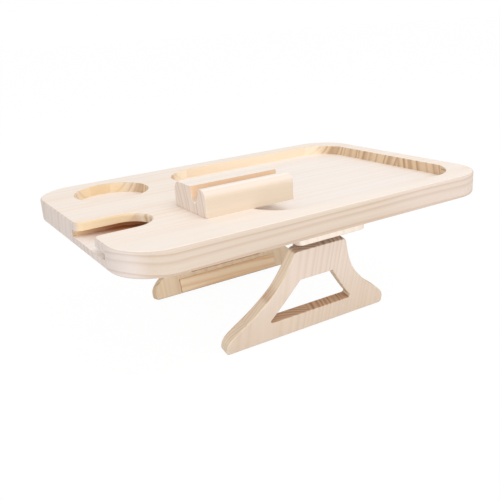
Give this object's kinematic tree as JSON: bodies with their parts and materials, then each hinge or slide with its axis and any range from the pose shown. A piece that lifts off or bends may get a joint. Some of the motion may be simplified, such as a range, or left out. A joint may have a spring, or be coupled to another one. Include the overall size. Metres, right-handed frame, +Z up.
{
  "type": "sofa arm tray",
  "caption": "Wooden tray that sits over a sofa arm on folding flared legs, with a plate recess, cup recess, goblet slot and loose phone stand.",
  "frame": {"origin": "under the centre of the tray, at the height of the feet", "axes": "+X along the tray from the goblet slot's end to the recess' end, +Y from front to back, +Z up"},
  "size_m": [0.33, 0.225, 0.1325],
  "materials": {
    "tray_wood": "satin light pine",
    "centre_board_wood": "satin pine",
    "front_leg_wood": "satin pine",
    "back_leg_wood": "satin pine",
    "batten_wood": "satin pine",
    "stand_wood": "satin light pine",
    "hinge_metal": "satin",
    "screw_metal": "satin"
  },
  "bodies": {
    "tray": {"tray_board": "tray_wood", "centre_board": "centre_board_wood", "centre_board_screws": "screw_metal", "front_left_board_leaf": "hinge_metal", "front_left_pin": "hinge_metal", "front_right_board_leaf": "hinge_metal", "front_right_pin": "hinge_metal", "front_board_leaf_screws": "screw_metal", "back_left_board_leaf": "hinge_metal", "back_left_pin": "hinge_metal", "back_right_board_leaf": "hinge_metal", "back_right_pin": "hinge_metal", "back_board_leaf_screws": "screw_metal"},
    "front_leg": {"front_leg": "front_leg_wood", "front_leg_batten": "batten_wood", "front_left_leg_leaf": "hinge_metal", "front_right_leg_leaf": "hinge_metal", "front_leg_leaf_screws": "screw_metal"},
    "back_leg": {"back_leg": "back_leg_wood", "back_leg_batten": "batten_wood", "back_left_leg_leaf": "hinge_metal", "back_right_leg_leaf": "hinge_metal", "back_leg_leaf_screws": "screw_metal"},
    "phone_stand": {"phone_stand": "stand_wood"}
  },
  "joints": [
    {"name": "front_leg_fold", "type": "hinge", "parent": "tray", "child": "front_leg", "pos_m": [0, -0.07788, 0.0845], "axis": [1, 0, 0], "range_deg": [-34, 54]},
    {"name": "back_leg_fold", "type": "hinge", "parent": "tray", "child": "back_leg", "pos_m": [0, 0.07788, 0.0845], "axis": [-1, 0, 0], "range_deg": [-34, 54]},
    {"name": "phone_stand_lift", "type": "slide", "parent": "tray", "child": "phone_stand", "axis": [0, 0, 1], "range_m": [0, 0.06]}
  ]
}
